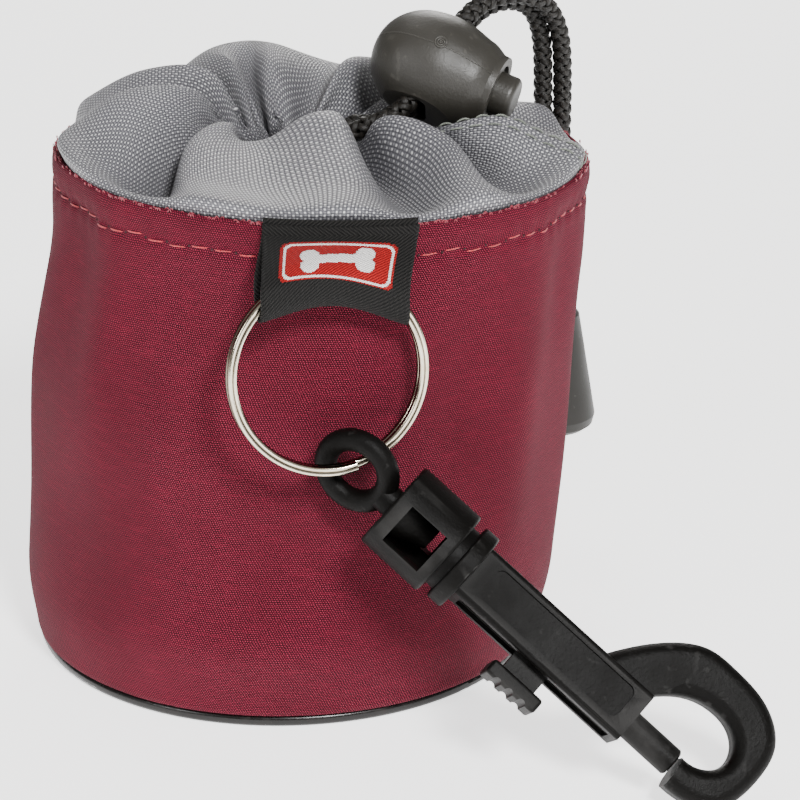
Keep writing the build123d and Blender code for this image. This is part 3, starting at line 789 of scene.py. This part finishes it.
# The cloth's folds, round the bag: the azimuth at which each one leaves the rim, how far it bulges
# there (0 a valley, 1 a ridge), three points that it passes on its way in, and the top of the hem
# channel.
FOLDS = [
    (-42, 0, (-15.2, -20.5, 64.8), (-12.8, -14, 64.6), (-9.4, -7.2, 65.8), (-6.4, -2.6, 65.0)),
    (-24, 1, (-10.8, -22, 69.8), (-10.4, -12.5, 72.4), (-6.6, -6.9, 72.9), (-4.4, -4.2, 69.0)),
    (-6, 0.5, (-0.2, -24, 69.0), (-1.6, -14, 70.4), (-2.8, -8.2, 70.6), (-2.2, -4.8, 67.6)),
    (8, 1, (11.0, -23.5, 69.6), (9.0, -13, 72.0), (7.2, -5.2, 74.2), (4.2, -1.6, 69.8)),
    (22, 0, (17.4, -23.5, 65.4), (14.2, -13.8, 64.8), (11.2, -7.2, 65.2), (7.0, -2.2, 65.0)),
    (36, 1, (23.8, -21.2, 70.2), (21.0, -11.5, 72.2), (13.8, -5.0, 73.0), (8.6, -1.2, 67.6)),
    (54, 0, (29.8, -16.2, 65.2), (25.4, -9.0, 65.8), (19.4, -4.6, 67.2), (9.6, 0.6, 65.4)),
    (80, 1, (34.6, -4.8, 70.8), (29.0, -4.8, 73.2), (22.0, -5.2, 72.0), (10.0, 2.0, 66.4)),
    (101, 0, (33.2, 5.4, 67.4), (26.0, 4.4, 67.2), (18.0, 3.4, 66.8), (9.8, 3.4, 66.2)),
    (119, 1, (30.6, 14.0, 70.4), (24.0, 12.8, 71.4), (16.0, 11.8, 72.2), (8.6, 6.0, 68.4)),
    (136, 0, (24.2, 20.2, 67.2), (17.4, 15.0, 67.8), (12.0, 10.6, 68.2), (6.6, 6.4, 65.6)),
    (152, 1, (17.6, 25.2, 71.8), (12.2, 18.4, 74.8), (8.4, 11.8, 76.0), (4.6, 5.6, 70.0)),
    (168, 0.4, (9.8, 27.4, 71.2), (6.2, 18.6, 73.6), (4.2, 11.2, 70.4), (2.6, 7.0, 64.8)),
    (184, 0.8, (1.2, 27.6, 73.0), (-1.6, 18.8, 77.0), (-1.6, 10.6, 76.4), (-0.4, 5.6, 69.8)),
    (200, 0.6, (-6.4, 25.8, 73.8), (-5.4, 17.4, 77.6), (-4.4, 10.0, 72.6), (-1.8, 6.4, 64.8)),
    (216, 1, (-13.4, 22.4, 73.4), (-10.2, 14.6, 77.0), (-6.2, 8.6, 76.6), (-3.2, 4.6, 69.4)),
    (234, 0, (-18.4, 15.6, 70.6), (-12.8, 9.6, 72.2), (-8.0, 6.0, 70.6), (-4.8, 4.0, 65.0)),
    (252, 1, (-24.8, 8.6, 73.0), (-18.0, 5.6, 76.8), (-9.2, 3.0, 77.2), (-4.6, 1.8, 69.8)),
    (265, 0, (-25.4, 2.2, 71.8), (-18.4, 1.4, 74.4), (-10.2, 0.6, 72.0), (-5.8, 0.8, 66.0)),
    (282, 1, (-25.8, -6.2, 72.2), (-19.8, -4.2, 76.2), (-11.0, -3.2, 76.2), (-5.6, -0.6, 69.2)),
    (300, 0.6, (-21.6, -14.6, 69.8), (-17.2, -9.6, 72.2), (-11.2, -5.4, 72.4), (-6.2, -1.6, 66.6)),
]


def rim_edge(azimuth, inward, z):
    """A point near the rim: so far inward from the wall, at a height before the rim's tilt."""
    a = np.radians(azimuth)
    r = BAG_RADIUS - inward
    x = RIM_LEAN + r * np.sin(a)
    return np.stack([x, -r * np.cos(a), z - (x - RIM_LEAN) * sin(RIM_TILT)], -1)


def push_out(points, start, end, radius):
    """Moves points out of a capsule."""
    axis = end - start
    t = np.clip(((points - start) @ axis) / (axis @ axis), 0, 1)
    near = start + t[..., None] * axis
    away = points - near
    far = np.linalg.norm(away, axis=-1)
    inside = far < radius
    points[inside] = near[inside] + away[inside] / far[inside][:, None] * radius


def rounded(keys, values, x, period=None):
    """A smooth curve through values at keys, periodic or with free ends."""
    keys, values = np.asarray(keys, float), np.asarray(values, float)
    if period:
        keys = np.concatenate([keys[-2:] - period, keys, keys[:3] + period])
        values = np.concatenate([values[-2:], values, values[:3]])
    slope = np.gradient(values, keys, axis=0)
    i = np.clip(np.searchsorted(keys, x, side="right") - 1, 0, len(keys) - 2)
    h = (keys[i + 1] - keys[i])[:, None]
    t = ((x - keys[i]) / (keys[i + 1] - keys[i]))[:, None]
    t = t.reshape(t.shape[0], *([1] * (values.ndim - 1)))
    h = h.reshape(t.shape)
    return ((2 * t ** 3 - 3 * t ** 2 + 1) * values[i] + (t ** 3 - 2 * t ** 2 + t) * h * slope[i]
            + (3 * t ** 2 - 2 * t ** 3) * values[i + 1] + (t ** 3 - t ** 2) * h * slope[i + 1])


def fold_line(points, count):
    """A smooth line through points, evenly divided."""
    points = np.asarray(points, float)
    run = np.concatenate([[0], np.cumsum(np.linalg.norm(np.diff(points, axis=0), axis=1) ** 0.5)])
    fine = rounded(run, points, np.linspace(0, run[-1] - 1e-9, 160))
    run = run_along(fine)
    return points_at(fine, run, np.linspace(0, run[-1], count))


def collar_shape(steps):
    """The gathered cloth: folds laid in as listed, then relaxed so that it hangs as one cloth."""
    ribs = []
    for azimuth, full, *inner in FOLDS:
        foot = rim_edge(azimuth, 1.1, BAG_TOP - 1.4)
        ankle = rim_edge(azimuth, 0.85, BAG_TOP + 0.25)
        cuff = rim_edge(azimuth, 1.6 - 1.6 * full, BAG_TOP + 0.8 + 1.5 * full)
        ribs.append(fold_line([foot, ankle, cuff, *map(np.array, inner)], COLLAR_ROWS))
    keys = [f[0] for f in FOLDS]
    azimuth = np.arange(COLLAR_COLS) * 360 / COLLAR_COLS - 42
    p = rounded(keys, np.array(ribs), azimuth, 360).transpose(1, 0, 2).copy()
    p[0] = rim_edge(azimuth, 1.1, BAG_TOP - 1.4)
    p[1] = rim_edge(azimuth, 1.0, BAG_TOP - 0.3)
    aim = p.copy()
    high = COLLAR_HEIGHT / (COLLAR_ROWS - 1)
    wide = 2 * pi * (BAG_RADIUS - 1.0) / COLLAR_COLS
    free = np.ones((COLLAR_ROWS, COLLAR_COLS, 1))
    free[:2] = free[-1] = 0

    def even_out(a, b, length, push):
        """How far to move towards each other; cloth resists stretch more than it resists a push."""
        gap = b - a
        size = np.linalg.norm(gap, axis=-1, keepdims=True) + 1e-9
        strain = (size - length) / size
        return gap * np.where(strain < 0, strain * push, strain) * 0.5

    loose = 1 - 0.75 * np.linspace(0, 1, COLLAR_ROWS)[:, None, None]
    for _ in range(steps):
        move = np.zeros_like(p)
        d = even_out(p[:-1], p[1:], high, 0.5)
        move[:-1] += d
        move[1:] -= d
        d = even_out(p, np.roll(p, -1, 1), wide, 0.35) * loose
        move += d - np.roll(d, 1, 1)
        middle = (np.roll(p, 1, 1) + np.roll(p, -1, 1)) / 2
        upright = p.copy()
        upright[1:-1] = (p[:-2] + p[2:]) / 2
        move += (middle - p) * 0.05 + (upright - p) * 0.16 + (aim - p) * 0.20
        p += move * 0.5 * free
        flat = p[2:-1].reshape(-1, 3)
        push_out(flat, LOCK_CENTRE, LOCK_CENTRE + unit(LOCK_PLUNGE) * 1.0, 7.3)
        push_out(flat, LOCK_CENTRE, LOCK_CENTRE + unit(LOCK_PLUNGE) * 9.0, 5.4)
        for side in (-1, 1):
            push_out(flat, hem_exit(side) + [1.5, 0, 0], lock_entry(side), 1.9)
        p[2:-1] = flat.reshape(p[2:-1].shape)
    return p, azimuth


def surface_normals(p):
    """Outward normals of a closed (rows, columns) grid."""
    around = np.roll(p, -1, 1) - np.roll(p, 1, 1)
    normal = np.cross(around, np.gradient(p, axis=0))
    return units(normal)


def crumple(p, azimuth):
    """Fine gathers near the hem, soft creases further out, and the seam's ridge."""
    share = np.linspace(0, 1, len(p))[:, None]
    turn = np.radians(azimuth)[None]
    gathers = np.sin(turn * 31 + 1.5 * np.sin(turn * 5)) * np.clip((share - 0.74) / 0.26, 0, 1) ** 1.5
    soft = wave_noise(azimuth[None], share * 38, 21, 4) * np.sin(pi * np.clip(share * 1.1, 0, 1))
    off = np.abs(turn_from(azimuth, SEAM_AT))[None]
    seam = np.exp(-((off - 1.6) / 1.3) ** 2) - 1.1 * np.exp(-(off / 0.7) ** 2)
    height = 0.55 * gathers + 0.30 * soft + 0.16 * seam * np.sin(pi * share) ** 0.3
    return p + surface_normals(p) * height[..., None]


def collar_stitches(p, azimuth):
    """Two rows of grey-green thread along the collar's own seam."""
    normal = surface_normals(p)
    paths = []
    for side in (-1.0, 1.0):
        column = int(round((SEAM_AT + side * 1.9 - azimuth[0]) % 360 / 360 * len(azimuth))) % len(azimuth)
        line, up = p[2:-3, column], normal[2:-3, column]
        run = run_along(line)
        start = 0.4
        while start < run[-1] - 2.4:
            at = np.linspace(start, start + 1.9, 8)
            arch = 0.26 * np.sin(np.linspace(0, pi, 8)) - 0.02
            paths.append(points_at(line, run, at) + points_at(up, run, at) * arch[:, None])
            start += 2.5
    obj = tubes("collar_seam_stitches", paths, 0.12, 6)
    paint(obj, thread("stitch_grey_green", (0.085, 0.095, 0.080), (0.21, 0.23, 0.19)))
    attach(obj, "pouch")


def hem_line():
    """The draw cord's line inside the hem channel, a little below the folds' inner ends."""
    return [np.array(fold[-1]) - [0, 0, CHANNEL] for fold in FOLDS]


def collar():
    """The gathered collar: from inside the rim up and in, then round the draw cord as its channel."""
    p, azimuth = collar_shape(160)
    p = crumple(p, azimuth)
    collar_stitches(p, azimuth)
    keys = [f[0] for f in FOLDS]
    cord = rounded(keys, np.array(hem_line()), azimuth, 360)
    inward = units((cord.mean(0) - cord) * [1, 1, 0])
    wrinkle = 1 + 0.10 * np.sin(np.radians(azimuth) * 44) + 0.06 * np.sin(np.radians(azimuth) * 71 + 1)
    channel = []
    for turn in (25, 55, 90, 125, 160, 200, 240, 275, 310):
        out = inward * sin(radians(turn)) + np.array([0, 0, cos(radians(turn))])
        channel.append(cord + out * (CHANNEL * wrinkle)[:, None])
    p = np.concatenate([p, np.array(channel)])
    p = np.concatenate([p, p[:, :1]], 1)
    high = COLLAR_HEIGHT / (COLLAR_ROWS - 1)
    along = np.concatenate([np.arange(COLLAR_ROWS) * high, COLLAR_HEIGHT + np.arange(1, 10) * 1.0])
    around = np.linspace(0, 2 * pi * (BAG_RADIUS - 1.0), COLLAR_COLS + 1)
    obj = grid_object("collar_gathered", p, around, along)
    finer = obj.modifiers.new("smooth", "SUBSURF")
    finer.levels = finer.render_levels = 1
    thicken(obj, 0.5)
    paint(obj, collar_cloth())
    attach(obj, "pouch")
    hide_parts("collar")


# ======== the label tab ========
def ring_axes():
    """The split ring's own directions: across it, up it and out of its plane."""
    across = np.array([cos(RING_YAW), sin(RING_YAW), 0])
    outward = np.array([sin(RING_YAW), -cos(RING_YAW), 0])
    up = np.array([0, 0, cos(RING_LEAN)]) - outward * sin(RING_LEAN)
    return across, up, unit(np.cross(across, up))


def tab_section(share):
    """The tab's folded section at a share of its width: down the front, round the ring, up the back."""
    across, up, front = ring_axes()
    u = TAB_LEFT + share * TAB_WIDTH
    foot = RING_CENTRE + across * u
    low = 6.9 - 1.9 * share + 2.2 * sin(pi * share) ** 1.2
    rim = rim_edge(-10.0 + 30.5 * share, -0.55, BAG_TOP + 0.35)
    half = 1.95                         # of the fold's depth where it goes round the ring
    belly = foot + up * (low + 5.2) + front * (half + 0.25)
    down_front = [rim + [0, 0.25, 0.75], rim + [0, -0.15, 0.15], rim + [0, -0.35, -1.4],
                  belly, foot + up * (low + half + 0.5) + front * (half + 0.05)]
    round_ring = [foot + up * (low + half - half * sin(t)) + front * (half * cos(t))
                  for t in np.linspace(0, pi, 9)]
    back = foot + up * (low + 5.2) - front * half
    return np.array(down_front + round_ring + [back, rim + [0, 0.05, -1.6], rim + [0, 0.10, 0.0]])


def tab_grid(columns, rows):
    """The tab's outside as a grid whose rows run from the rim down the front and up the back."""
    sections = []
    for share in np.linspace(0, 1, columns):
        line, _ = nurbs_line(tab_section(share), 0.2)
        run = run_along(line)
        sections.append(points_at(line, run, np.linspace(0, run[-1], rows)))
    return np.stack(sections, 1), run[-1]


def on_tab(grid, long, u, v, lift):
    """A point of the tab's front: u across and v down it in millimetres, lifted off the cloth."""
    rows, cols = grid.shape[:2]
    x = np.clip(u / TAB_WIDTH * (cols - 1), 0, cols - 1.001)
    y = np.clip(v / long * (rows - 1), 0, rows - 1.001)
    i, j = x.astype(int), y.astype(int)
    fx, fy = (x - i)[..., None], (y - j)[..., None]
    a = grid[j, i] * (1 - fx) + grid[j, i + 1] * fx
    b = grid[j + 1, i] * (1 - fx) + grid[j + 1, i + 1] * fx
    across = grid[j, i + 1] - grid[j, i]
    down = grid[j + 1, i] - grid[j, i]
    return a * (1 - fy) + b * fy + units(np.cross(down, across)) * lift


def woven_patch(name, grid, long, inside, cell, lift, material, box):
    """A woven figure on the tab: those cells of a fine grid that lie inside a shape."""
    u0, v0, u1, v1 = box
    us, vs = np.arange(u0, u1 + cell, cell), np.arange(v0, v1 + cell, cell)
    U, V = np.meshgrid(us, vs)
    points = on_tab(grid, long, U, V, lift).reshape(-1, 3)
    keep = inside(U[:-1, :-1] + cell / 2, V[:-1, :-1] + cell / 2)
    cols = len(us)
    faces = [(j * cols + i, (j + 1) * cols + i, (j + 1) * cols + i + 1, j * cols + i + 1)
             for j, i in zip(*np.nonzero(keep))]
    used = sorted({v for f in faces for v in f})
    index = {v: k for k, v in enumerate(used)}
    uv = np.stack([U.ravel(), V.ravel()], 1)[used]
    obj = mesh_object(name, points[used], [[index[v] for v in f] for f in faces], uv)
    thicken(obj, lift + 0.12)
    paint(obj, material)
    return obj


def rounded_box(cu, cv, half_u, half_v, corner):
    """A rectangle with round corners, as a test of points."""
    def inside(u, v):
        du = np.maximum(np.abs(u - cu) - half_u + corner, 0)
        dv = np.maximum(np.abs(v - cv) - half_v + corner, 0)
        return np.hypot(du, dv) <= corner
    return inside


def bone(cu, cv, reach, knob, shaft, tilt):
    """A plain bone: a shaft with two round knobs at each end."""
    c, s = cos(radians(tilt)), sin(radians(tilt))

    def inside(u, v):
        x = (u - cu) * c + (v - cv) * s
        y = -(u - cu) * s + (v - cv) * c
        hit = (np.abs(x) < reach) & (np.abs(y) < shaft)
        for sx in (-1, 1):
            for sy in (-1, 1):
                hit |= np.hypot(x - sx * reach, y - sy * knob * 0.78) < knob
        return hit
    return inside


LABEL_MIDDLE = (TAB_WIDTH / 2, 6.7)     # across the tab, and down its front
LABEL_AREA = (1.5, 2.5, 16.6, 11.0)     # the part of the tab that the patches are cut from
FIGURE_AREA = (2.0, 3.0, 16.0, 10.6)


def label_tab():
    """The folded tab that holds the ring, with its woven patch: a red field, a border and a bone."""
    black = twill("label_black_twill", (0.0008, 0.0008, 0.0008), (0.013, 0.012, 0.011), 0.50)
    red = twill("label_red_weave", (0.13, 0.0015, 0.0018), (0.36, 0.008, 0.008), 0.40)
    white = twill("label_white_weave", (0.48, 0.46, 0.45), (0.86, 0.84, 0.82), 0.34)
    grid, long = tab_grid(31, 100)
    rows, columns = grid.shape[:2]
    tab = grid_object("label_tab_cloth", grid, np.linspace(0, TAB_WIDTH, columns),
                      np.linspace(0, long, rows), flip=True)
    thicken(tab, 0.45)
    paint(tab, black)
    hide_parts("label_tab")
    field = rounded_box(*LABEL_MIDDLE, 6.9, 3.3, 1.0)
    edge_in = rounded_box(*LABEL_MIDDLE, 6.2, 2.65, 0.7)
    edge_out = rounded_box(*LABEL_MIDDLE, 6.5, 2.95, 0.85)
    patch = woven_patch("label_red_field", grid, long, field, 0.2, 0.10, red, LABEL_AREA)
    border = woven_patch("label_border", grid, long, lambda u, v: edge_out(u, v) & ~edge_in(u, v),
                         0.15, 0.17, white, LABEL_AREA)
    figure = woven_patch("label_bone", grid, long, bone(*LABEL_MIDDLE, 3.3, 1.12, 0.72, -6.0),
                         0.16, 0.20, white, FIGURE_AREA)
    for piece in (tab, patch, border, figure):
        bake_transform(piece)


# ======== CAD pieces that stay ========
def cad_finishes():
    """Materials for the CAD nodes that are seen as they are."""
    hook = moulded("hook_plastic", (0.0024, 0.0021, 0.0018), 0.44, 0.085, 1.0, 2300.0, 0.09)
    lock = moulded("lock_plastic", (0.024, 0.022, 0.018), 0.37, 0.050, 0.35, 2800.0, 0.50)
    bell = moulded("bell_plastic", (0.021, 0.020, 0.018), 0.38, 0.020, 0.3, 2600.0, 0.24)
    for material, names in (
            (hook, ("hook_body", "swivel_eye", "gate_bolt", "thumb_slide")),
            (lock, ("cord_lock_barrel", "cord_lock_plunger")),
            (bell, ("cord_end_bell", "cord_end_cap")),
            (nickel(), ("split_ring",)), (vinyl(), ("base_panel",)),
            (board(), ("base_stiffener",)), (lining(), ("inner_lining",))):
        for name in names:
            paint(nodes[name], material)


def springs():
    """The two coil springs as pieces of their own."""
    wire = steel_wire()
    for node, body, joint, axis, travel in (
            ("cord_lock_spring", "cord_lock", "plunger_press", LOCK_PLUNGE, PLUNGER_TRAVEL),
            ("bolt_spring", "hook", "gate_slide", HOOK_AXIS, BOLT_TRAVEL)):
        piece = link(bpy.data.objects.new(node + "_coil", nodes[node].data.copy()))
        paint(piece, wire)
        axis = unit(axis)
        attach(piece, body)
        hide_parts(node)
        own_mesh(piece)


def on_surface(tree, start, aim, lift):
    """Where a ray from a point outside meets a mesh, lifted a little off it; millimetres."""
    way = Vector(aim - start).normalized()
    hit, normal, _, _ = tree.ray_cast(Vector(start * MM), way)
    return None if hit is None else np.array(hit + normal * lift * MM) / MM


def lock_marks():
    """The mould's parting line round the lock and the moulding's gate spot."""
    mesh = nodes["cord_lock_barrel"].data
    tree = BVHTree.FromPolygons([v.co for v in mesh.vertices], [p.vertices[:] for p in mesh.polygons])
    along = unit(LOCK_PLUNGE)
    up = unit(LOCK_CORD - along * (LOCK_CORD @ along))
    side = np.cross(along, up)
    paths = []
    for way in (-1, 1):
        line = []
        for t in np.linspace(-8.2, 8.3, 46):    # from the barrel's blind end to its mouth
            centre = LOCK_CENTRE + along * t
            spot = on_surface(tree, centre + side * way * 20, centre, 0.0)
            if spot is not None and abs((spot - centre) @ side) > 2.0:
                line.append(spot)
        paths.append(np.array(line))
    marks = tubes("lock_parting_line", paths, 0.10, 6)
    middle = LOCK_CENTRE + along * 0.6
    rings = []
    for radius in (0.75, 0.45, 0.15):
        ring = []
        for a in np.linspace(0, 2 * pi, 17):
            aim = middle + along * cos(a) * radius + up * (0.4 + sin(a) * radius)
            spot = on_surface(tree, aim + side * GATE_SIDE * 20, aim, 0.02)
            if spot is not None:
                ring.append(spot)
        rings.append(np.array(ring))
    spot = tubes("lock_gate_spot", rings, 0.16, 6)
    for piece in (marks, spot):
        paint(piece, nodes["cord_lock_barrel"].material_slots[0].material)
        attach(piece, "cord_lock")


camera()
studio()
draw_cords()
cad_finishes()
springs()
lock_marks()
bag_wall()
rim_stitches()
collar()
label_tab()
